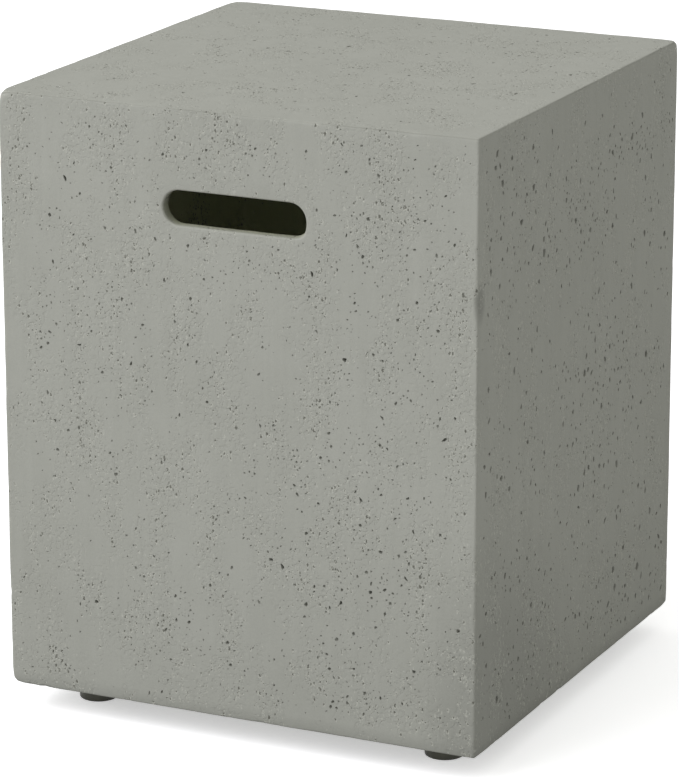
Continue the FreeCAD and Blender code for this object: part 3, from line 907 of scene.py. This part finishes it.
BLOCK_FREE_ROUND = 10.0      # the upright corner that faces the hollow's middle
BLOCK_BACK_ROUND = 8.0       # the upright corner that lies in the casting's corner
BLOCK_TOP_ROUND = 4.0
BLOCK_BOND = 1.3             # how far the mortar reaches into the uneven wall
BLOCK_SWELL = 0.8            # most that the free sides are hollowed by their cast unevenness
BLOCK_EDGE = 0.8             # the round along its bottom
BLOCK_HELD = 4.0             # beside the wall it isn't hollowed, and further off than this fully
COVE = 3.0                   # radius of the mortar's cove along the walls
INSERT_HOLE = (6.1, 20.1)    # radius and depth of the insert's hole
STUD_HOLE = (5.0, 36.0)
GLUE_BEAD = (9.4, 2.2, 0.7)  # squeezed out round the flange: start, width, thickness
BEAD_WAVE = 0.5              # how uneven the bead is, as a share of its thickness
UNDERSIDE_RINGS = (8.5, 9.4, 9.8, 10.2, 10.7, 11.2, 11.8, 12.6, 14.0, 17.0)
BLOCK_STEP = 2.0


def block_outline(low, high):
    """The block's plan as points counterclockwise, from the corner where its free side meets the front wall,
    and their outward directions: a rectangle whose corners are quarter circles, two of them sharp."""
    rounds = [0.01, BLOCK_FREE_ROUND, 0.01, BLOCK_BACK_ROUND]
    corners = [(high[0], low[1]), (high[0], high[1]), (low[0], high[1]), (low[0], low[1])]
    points, away = [], []
    for k in range(4):
        turn = np.radians(90 * k - 90)
        toward = np.array([np.cos(turn) - np.sin(turn), np.sin(turn) + np.cos(turn)])
        angle = turn + np.radians(np.linspace(0, 90, 9 if rounds[k] > 1 else 2))
        normal = np.column_stack([np.cos(angle), np.sin(angle)])
        points.append(np.array(corners[k]) - toward * rounds[k] + normal * rounds[k])
        away.append(normal)
    outline, normals = [], []
    for k in range(4):
        start, end = points[k][-1], points[(k + 1) % 4][0]
        count = int(np.linalg.norm(end - start) / BLOCK_STEP)
        share = (1 - np.cos(np.arange(1, count)[:, None] / count * np.pi)) / 2
        outline += [points[k], start * (1 - share) + end * share]
        normals += [away[k], np.repeat(away[k][-1:], count - 1, axis=0)]
    return np.vstack(outline), np.vstack(normals)


def block_rings(outline, away, bottom, top):
    """The rings of a block about its foot's axis, [ring, point, 3], and their outward directions. They run
    from the ceiling of the stud's hole down the hole, out under the block, up its sides and in over its
    top. Each is a circle or the outline, drawn in."""
    toward = outline / np.linalg.norm(outline, axis=1, keepdims=True)
    free = away * ((away[:, :1] > 0.01) | (away[:, 1:] > 0.01))
    hole = [(STUD_HOLE[0] / 2, STUD_HOLE[1]), STUD_HOLE, (STUD_HOLE[0], INSERT_HOLE[1]), INSERT_HOLE]
    # rings as (plan, height, how far it faces up)
    rings = [(toward * radius, bottom + height, 0) for radius, height in hole]
    rings += [(toward * radius, bottom, -1) for radius in (INSERT_HOLE[0], *UNDERSIDE_RINGS)]
    inner, outer = toward * UNDERSIDE_RINGS[-1], outline - away * BLOCK_EDGE
    rings += [(inner * (1 - share) + outer * share, bottom, -1) for share in (0.3, 0.65)]
    rings += [(outline - away * inset, z, up) for z, inset, up in
              ((bottom, BLOCK_EDGE, -0.8), (bottom + 0.25, 0.25, -0.5), (bottom + BLOCK_EDGE, 0.0, 0))]
    rings += [(outline, z, 0) for z in np.linspace(bottom + BLOCK_EDGE, top - BLOCK_TOP_ROUND, 16)[1:]]
    for turn in np.radians([15, 30, 45, 60, 75, 90]):
        inset, drop = BLOCK_TOP_ROUND * (1 - math.cos(turn)), BLOCK_TOP_ROUND * (1 - math.sin(turn))
        rings.append((outline - free * inset, top - drop, math.sin(turn)))
    edge = rings[-1][0]
    rings += [(edge * share, top, 1) for share in (0.93, 0.86, 0.7, 0.45, 0.2)]
    rows = np.stack([np.column_stack([plan, np.full(len(plan), z)]) for plan, z, _ in rings])
    upward = np.array([up for *_, up in rings], float)
    outward = np.sqrt(1 - upward ** 2)
    outward[:len(hole)] = 0
    sideways = away[None] * outward[:, None, None]
    upright = np.broadcast_to(upward[:, None, None], (*sideways.shape[:2], 1))
    return rows, np.concatenate([sideways, upright], axis=2)


def block_relief(flat, normal, near, world):
    """How far a block's points stand out. Its free sides are pushed in by noise, and near a wall, at near,
    the mortar's cove pushes them out by COVE (1 - sqrt(1 - (1 - distance / COVE)^2)). The glue bead
    swells the underside round the flange, by the height of an ellipse."""
    from_wall = np.minimum(flat[:, 0] - near[0], flat[:, 1] - near[1])
    held = np.clip(from_wall / BLOCK_HELD, 0, 1)
    cove = COVE * (1 - np.sqrt(1 - np.clip(1 - from_wall / COVE, 0, 1) ** 2))
    on_wall = (np.abs(normal[:, 0]) + np.abs(normal[:, 1]) > 0.5) & (from_wall < -0.01)
    push = cove * (~on_wall) * (normal[:, 2] > -0.5)
    push = push - BLOCK_SWELL * held * (1 + noise(world, *BLOCK_NOISE)) / 2
    start, width, thickness = GLUE_BEAD
    spread = np.linalg.norm(flat[:, :2], axis=1)
    bead = np.clip((spread - start) / width, 0, 1)
    bead = np.where(spread > start - 0.01, np.sqrt(1 - bead ** 2), 0) * (normal[:, 2] < -0.5)
    return push + thickness * bead * (1 + BEAD_WAVE * noise(world, *BEAD_NOISE))


def corner_block(name, node):
    """A block, worked out about its foot's axis with x and y towards the table's middle, and then turned to
    its own corner: each point is its ring's, moved along the outward direction by the relief."""
    low, high = box_of(node)
    insert_low, insert_high = box_of(node.replace("corner_block", "threaded_insert"))
    axis = (insert_low + insert_high)[:2] / 2
    mirror = -np.sign(axis)
    near, far = np.sort([(low[:2] - axis) * mirror, (high[:2] - axis) * mirror], axis=0)
    rows, normal = block_rings(*block_outline(near - BLOCK_BOND, far), low[2], high[2])
    flat, normal = rows.reshape(-1, 3), normal.reshape(-1, 3)
    to_world, origin = np.array([*mirror, 1.0]), np.array([*axis, 0.0])
    push = block_relief(flat, normal, near, flat * to_world + origin)
    world = (flat + normal * push[:, None]) * to_world + origin
    ends = (low[2] + STUD_HOLE[1], high[2] - BLOCK_SWELL / 2)
    return wound_mesh(name, world.reshape(rows.shape), axis, ends, flipped=mirror[0] * mirror[1] < 0)


def add_feet():
    """The block, the stud and the pad of each corner. The nut and the insert stay as they are."""
    made = []
    for corner in CORNERS:
        for solid, name, slot, body, build in (
                ("corner_block_", "mortar_block_", "bonded_block", "table", corner_block),
                ("foot_stud_", "levelling_stud_", "plated_steel", "stud_" + corner, levelling_stud),
                ("foot_pad_", "moulded_pad_", "pad_plastic", "pad_" + corner, foot_pad)):
            mesh = build(name + corner, solid + corner)
            made.append((add_piece(name + corner, mesh, body, solid + corner), slot))
    return made


feet = add_feet()


# Finishes, with lengths in metres

class Nodes:
    """A tree of shader nodes that is filled step by step."""

    def __init__(self, tree):
        self.tree = tree

    def feed(self, node, inputs):
        """Gives a node its inputs: an output of another node is linked, and a number or colour is set."""
        for key, value in inputs.items():
            socket = node.inputs[key]
            if isinstance(value, bpy.types.NodeSocket):
                self.tree.links.new(value, socket)
            else:
                socket.default_value = (*value, 1) if socket.type == "RGBA" else value
        return node

    def node(self, kind, inputs, output=0, **settings):
        """Adds a node of one kind with its settings and inputs, and returns one of its outputs."""
        made = self.tree.nodes.new("ShaderNode" + kind)
        for name, value in settings.items():
            setattr(made, name, value)
        return self.feed(made, inputs).outputs[output]

    def math(self, operation, a, b):
        return self.node("Math", {0: a, 1: b}, operation=operation)

    def seen_directly(self):
        """1 where the camera, a mirror or glass sees a thing, and 0 where it only lights others."""
        path = self.tree.nodes.new("ShaderNodeLightPath")
        kinds = ("Camera", "Glossy", "Transmission")
        camera, glossy, clear = [path.outputs["Is %s Ray" % kind] for kind in kinds]
        return self.math("MAXIMUM", self.math("MAXIMUM", camera, glossy), clear)


class Finish(Nodes):
    """A material made of nodes. Its patterns sit on Object coordinates."""

    def __init__(self, name):
        self.material = bpy.data.materials.new(name)
        self.material.use_nodes = True
        super().__init__(self.material.node_tree)
        self.place = self.node("TexCoord", {}, "Object")

    def height(self):
        return self.node("SeparateXYZ", {0: self.place}, "Z")

    def stretched(self, scale, place=None):
        """Coordinates multiplied by scale (x, y, z)."""
        return self.node("Mapping", {"Scale": scale, "Vector": place or self.place})

    def around(self, place, size):
        """1 at a place, falling to 0 at the edge of an ellipsoid of that size round it."""
        scale, back = [1 / reach for reach in size], [-p / reach for p, reach in zip(place, size)]
        moved = self.node("Mapping", {"Scale": scale, "Location": back, "Vector": self.place})
        return self.node("TexGradient", {"Vector": moved}, "Fac", gradient_type="SPHERICAL")

    def crooked(self, scale, reach):
        """Object coordinates, each moved by noise by about a fifth of reach."""
        aside = self.node("TexNoise", {"Vector": self.place, "Scale": scale}, "Color")
        return self.node("VectorMath", {0: aside, 1: (reach,) * 3, 2: self.place}, operation="MULTIPLY_ADD")

    def noise(self, scale, detail, rough, place=None):
        inputs = {"Vector": place or self.place, "Scale": scale, "Detail": detail, "Roughness": rough}
        return self.node("TexNoise", inputs, "Fac")

    def ramp(self, value, low, high, first=0.0, last=1.0):
        """value from low to high, carried to first to last and held there outside."""
        inputs = {"Value": value, "From Min": low, "From Max": high, "To Min": first, "To Max": last}
        return self.node("MapRange", inputs)

    def mix(self, share, a, b, blend="MIX"):
        """Colours a and b mixed; share and either colour may be an output."""
        return self.node("Mix", {0: share, 6: a, 7: b}, 2, data_type="RGBA", blend_type=blend)

    def toned(self, colour, value, low, high, first, last):
        """A colour multiplied by a grey, which goes from first to last as value goes from low to high."""
        grey = self.ramp(value, low, high, first, last)
        return self.mix(1.0, colour, self.node("CombineColor", {0: grey, 1: grey, 2: grey}), "MULTIPLY")

    def finished(self, bumps, **inputs):
        """Sets the shader's inputs, with bumps laid over each other, each a (height, strength, distance), and
        returns the material."""
        under = {}
        for height, strength, distance in bumps:
            bump = {"Strength": strength, "Distance": distance, "Height": height, **under}
            under = {"Normal": self.node("Bump", bump)}
        named = {name.replace("_", " "): value for name, value in inputs.items()}
        self.feed(self.tree.nodes["Principled BSDF"], {**named, **under})
        return self.material


# the dark of the pits and specks: dirt, and painted shade inside them
PIT_DIRT_AND_SHADE_COLOUR = (0.07, 0.07, 0.055)
PIT_BLOOM = (0.52, 0.525, 0.48)       # the pale cement skin round a pit
# painted shade towards the ground, where less light reaches: from this height, to this height, how dark at
# the bottom
GROUND_SHADES = ((0.0225, 0.17, 0.955), (0.0225, 0.034, 0.82))
# darker patches, each with its place, its size and how dark it is: painted shade low on the right, and a
# darker spot at the dent in the near edge
DARK_PATCHES = (
    ((0.2032, -0.17, 0.05), (0.05, 0.17, 0.15), 0.86),
    ((0.2032, -0.198, 0.382), (0.006, 0.009, 0.019), 0.74),
)
HOLLOW_PALE = (0.67, 0.69, 0.50)      # bare concrete, not weathered as the outside is
HOLLOW_DARK = (0.61, 0.63, 0.45)
BLOOM_SHARE = 0.7
SPECK_SIZE = (0.16, 0.38)             # least and most, as shares of a cell


def specks(finish, place, colour, crowd, scale, least, strength):
    """Scattered crooked specks too small to be modelled. Each cell of a Voronoi pattern has one where its
    lot times the crowd is over least, the larger the further over. Sizes are shares of a cell. Its dark, dirt
    and painted shade as in a pit, ends inside its dent, whose clean edge catches the light, and a pale bloom
    runs round that. Returns the colour and how far the surface stands out of the dent."""
    cells = finish.tree.nodes.new("ShaderNodeTexVoronoi")
    finish.feed(cells, {"Vector": place, "Scale": scale})
    smallest, largest = SPECK_SIZE
    lot = finish.math("MULTIPLY", finish.node("SeparateColor", {0: cells.outputs["Color"]}), crowd)
    here = finish.ramp(lot, least - 0.01, least, -1.0, smallest)
    size = finish.math("ADD", here, finish.ramp(lot, least, 0.95, 0.0, largest - smallest))
    within = finish.math("SUBTRACT", size, cells.outputs["Distance"])
    bloom = finish.ramp(within, -0.30, -0.14, 0.0, BLOOM_SHARE)
    # dirt and painted shade in the speck, as in a pit
    dirt_and_shade = finish.ramp(within, -0.06, 0.06, 0.0, strength)
    colour = finish.mix(dirt_and_shade, finish.mix(bloom, colour, PIT_BLOOM), PIT_DIRT_AND_SHADE_COLOUR)
    return colour, finish.math("SUBTRACT", 1.0, finish.ramp(within, -0.16, 0.08))


def concrete(name, pale, dark, rough):
    """Cast concrete: a broad and a hand-wide mottle, sand grain, faint upright streaks, specks in crowds and
    darker pits, both with dirt and painted shade, painted shade towards the ground and low on the right, and
    a darker spot by a dent."""
    finish = Finish(name)
    mottle = finish.ramp(finish.noise(7.0, 4.0, 0.6), 0.3, 0.7)
    patches = finish.ramp(finish.noise(38.0, 3.0, 0.6), 0.3, 0.7)
    tone = finish.math("ADD", finish.math("MULTIPLY", mottle, 0.6), finish.math("MULTIPLY", patches, 0.4))
    hollow, pit = [finish.node("Attribute", {}, "Fac", attribute_name=kind) for kind in ("hollow", "pit")]
    colour = finish.mix(hollow, finish.mix(tone, pale, dark), finish.mix(tone, HOLLOW_PALE, HOLLOW_DARK))
    grain = finish.noise(900.0, 2.0, 0.7)
    colour = finish.toned(colour, grain, 0.3, 0.7, 0.965, 1.035)
    streaks = finish.noise(1.0, 3.0, 0.6, finish.stretched((130, 130, 9)))
    colour = finish.toned(colour, streaks, 0.3, 0.7, 0.98, 1.02)
    height = finish.height()
    # painted shade towards the ground
    for low, high, darkest in GROUND_SHADES:
        colour = finish.toned(colour, height, low, high, darkest, 1.0)
    # painted shade low on the right, and a darker spot at the dent in the near edge
    for middle, size, darkest in DARK_PATCHES:
        colour = finish.toned(colour, finish.around(middle, size), 0.0, 0.6, 1.0, darkest)
    crowd = finish.ramp(finish.noise(1.0, 3.0, 0.6, finish.stretched((34, 34, 17))), 0.38, 0.66, 0.6, 1.0)
    place = finish.stretched((1.0, 1.0, 0.6), finish.crooked(900.0, 0.0022))
    colour, large = specks(finish, place, colour, crowd, 380.0, 0.68, 0.8)
    colour, small = specks(finish, place, colour, crowd, 620.0, 0.71, 0.75)
    # the pit value darkens pits with dirt and painted shade, the slot with painted shade, and the top's edges
    # with a seam line and painted shade
    colour = finish.mix(finish.math("MULTIPLY", pit, 0.9), colour, PIT_DIRT_AND_SHADE_COLOUR)
    blotch = finish.ramp(finish.noise(300.0, 2.0, 0.6), 0.53, 0.60)
    blotch = finish.math("MULTIPLY", blotch, finish.ramp(crowd, 0.62, 0.85))
    bumps = (
        (finish.noise(60.0, 4.0, 0.6), 0.2, 0.0006 * rough),
        (grain, 0.25, 0.00015 * rough),
        (finish.math("SUBTRACT", 1.0, blotch), 0.8, 0.0003),
        (large, 0.9, 0.0007),
        (small, 0.8, 0.0004),
    )
    return finish.finished(bumps, Base_Color=colour, Roughness=0.9, Specular_IOR_Level=0.25)


def metal(name, colour, tarnish, roughness):
    """Metal with cloudy tarnish, fine turning marks across its axis and small scratches."""
    finish = Finish(name)
    cloud = finish.ramp(finish.noise(220.0, 4.0, 0.6), 0.35, 0.7)
    marks = finish.noise(1.0, 2.0, 0.6, finish.stretched((60, 60, 5200)))
    worn = finish.ramp(cloud, 0.0, 1.0, roughness - 0.06, roughness + 0.14)
    worn = finish.math("ADD", worn, finish.ramp(marks, 0.3, 0.7, -0.04, 0.04))
    bumps = (marks, 0.25, 0.00004), (finish.noise(1500.0, 2.0, 0.6), 0.2, 0.00004)
    return finish.finished(bumps, Base_Color=finish.mix(cloud, colour, tarnish), Metallic=1.0, Roughness=worn)


def moulded_plastic(name, colour, dust_and_sheen_colour):
    """Dark moulded plastic: a fine grain, dust that gathers in clouds, and a painted sheen half way up the
    side.
    """
    finish = Finish(name)
    cloud = finish.ramp(finish.noise(90.0, 4.0, 0.65), 0.45, 0.75, 0.0, 0.5)
    height = finish.height()
    # below and above bound a band half way up the side, painted paler as a sheen
    below = finish.ramp(height, 0.0, 0.004)
    above = finish.ramp(height, 0.006, 0.0115, 1.0, 0.0)
    dust_and_sheen = finish.math("ADD", cloud, finish.math("MULTIPLY", finish.math("MULTIPLY", below, above), 0.6))
    bumps = (finish.noise(120.0, 3.0, 0.5), 0.15, 0.0002), (finish.noise(2600.0, 2.0, 0.6), 0.3, 0.00006)
    worn = finish.ramp(finish.noise(400.0, 3.0, 0.6), 0.3, 0.7, 0.40, 0.56)
    return finish.finished(bumps, Base_Color=finish.mix(dust_and_sheen, colour, dust_and_sheen_colour), Roughness=worn)


# the casting's finish, the blocks', the inserts', the studs' and nuts', and the pads'
finish_of = {
    "cast_concrete": concrete("cast_concrete", (0.383, 0.388, 0.359), (0.352, 0.357, 0.328), 1.0),
    "bonded_block": concrete("bonded_block", (0.33, 0.33, 0.30), (0.26, 0.26, 0.235), 2.2),
    "insert_brass": metal("insert_brass", (0.72, 0.53, 0.25), (0.50, 0.36, 0.18), 0.34),
    "plated_steel": metal("plated_steel", (0.66, 0.66, 0.64), (0.50, 0.50, 0.48), 0.32),
    "pad_plastic": moulded_plastic("pad_plastic", (0.022, 0.022, 0.014), (0.085, 0.085, 0.062)),
}
for piece, slot in [(shell, "cast_concrete"), *feet]:
    piece.data.materials.append(finish_of[slot])
for row in frame["record"]["subparts"]:
    solid = bpy.data.objects[row["node"]].data.materials
    solid.clear()
    solid.append(finish_of[row["material_slot"]])


# The camera, the light and the floor, in metres and degrees

CAMERA_PLACE = (1.3940, -2.9424, 1.1814)
CAMERA_AZIMUTH = 25.47
CAMERA_ELEVATION = 16.15
CAMERA_ROLL = -0.11
CAMERA_LENS = 192.45                 # millimetres
CAMERA_REACH = 50.0
KEY_PLACE = (-2.55, -3.0, 3.25)
KEY_AIM = (0.0, 0.0, 0.28)
KEY_SIZE = 5.0
KEY_POWER = 173.0
KEY_COLOUR = (0.985, 0.985, 1.0)
SKY = (0.585, 0.585, 0.548)
FLOOR_BOUNCE = (0.55, 0.55, 0.55)    # how much of the light the floor gives back
FLOOR_WHITE = (0.47, 0.47, 0.47)     # the camera sees the floor at least this bright; the rest is its shade
FLOOR_SHADE = (1.13, 1.13, 1.18)
FLOOR_SIZE = 8.0


def make_camera():
    """A camera that looks the way the photograph was taken."""
    azimuth, elevation = math.radians(CAMERA_AZIMUTH), math.radians(CAMERA_ELEVATION)
    level = math.cos(elevation)
    back = Vector((math.sin(azimuth) * level, -math.cos(azimuth) * level, math.sin(elevation)))
    right = Vector((0, 0, 1)).cross(back).normalized()
    look = Matrix((right, back.cross(right), back)).transposed().to_4x4()
    look = look @ Matrix.Rotation(math.radians(CAMERA_ROLL), 4, "Z")
    camera = add_object("camera", bpy.data.cameras.new("camera"))
    camera.matrix_world = Matrix.Translation(CAMERA_PLACE) @ look
    camera.data.lens = CAMERA_LENS
    camera.data.clip_end = CAMERA_REACH
    bpy.context.scene.camera = camera


def make_key_light():
    """One big soft lamp, in front, to the left and above."""
    lamp = bpy.data.lights.new("key", "AREA")
    lamp.shape, lamp.size, lamp.energy, lamp.color = "DISK", KEY_SIZE, KEY_POWER, KEY_COLOUR
    turn = (Vector(KEY_AIM) - Vector(KEY_PLACE)).to_track_quat("-Z", "Y").to_matrix().to_4x4()
    add_object("key", lamp).matrix_world = Matrix.Translation(KEY_PLACE) @ turn


def make_sky():
    """White to look at, and a soft grey light on the object."""
    world = bpy.data.worlds.new("studio")
    bpy.context.scene.world = world
    world.use_nodes = True
    sky = Nodes(world.node_tree)
    light = sky.feed(sky.tree.nodes["Background"], {"Color": SKY}).outputs[0]
    white = sky.node("Background", {"Color": (1, 1, 1)})
    mixed = sky.node("MixShader", {0: sky.seen_directly(), 1: light, 2: white})
    sky.feed(sky.tree.nodes["World Output"], {"Surface": mixed})


def floor_material():
    """White, keeping the object's shadow: what is seen is its own glow plus its shade. It is clear from
    below, so that the underside can be looked at."""
    material = bpy.data.materials.new("floor")
    material.use_nodes = True
    floor = Nodes(material.node_tree)
    floor.tree.nodes.remove(floor.tree.nodes["Principled BSDF"])
    bounce = floor.node("BsdfDiffuse", {"Color": FLOOR_BOUNCE})
    shade = floor.node("BsdfDiffuse", {"Color": FLOOR_SHADE})
    seen = floor.node("AddShader", {0: shade, 1: floor.node("Emission", {"Color": FLOOR_WHITE})})
    above = floor.node("MixShader", {0: floor.seen_directly(), 1: bounce, 2: seen})
    below = floor.node("NewGeometry", {}, "Backfacing")
    sided = floor.node("MixShader", {0: below, 1: above, 2: floor.node("BsdfTransparent", {})})
    floor.feed(floor.tree.nodes["Material Output"], {"Surface": sided})
    return material


def make_floor():
    """The floor, as one patch under each foot. A patch goes with its pad, because a foot is screwed out to
    reach a lower floor, so each pad stands on the floor at every pose."""
    material = floor_material()
    for corner, sides in CORNERS.items():
        x, y = [sorted((0, side * FLOOR_SIZE)) for side in sides]
        mesh = bpy.data.meshes.new("floor_" + corner)
        outline = [(x[0], y[0], 0), (x[1], y[0], 0), (x[1], y[1], 0), (x[0], y[1], 0)]
        mesh.from_pydata(outline, [], [(0, 1, 2, 3)])
        mesh.materials.append(material)
        patch = add_object("floor_" + corner, mesh)
        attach(patch, "pad_" + corner)


make_camera()
make_key_light()
make_sky()
make_floor()
bpy.context.scene.view_settings.view_transform = "Standard"
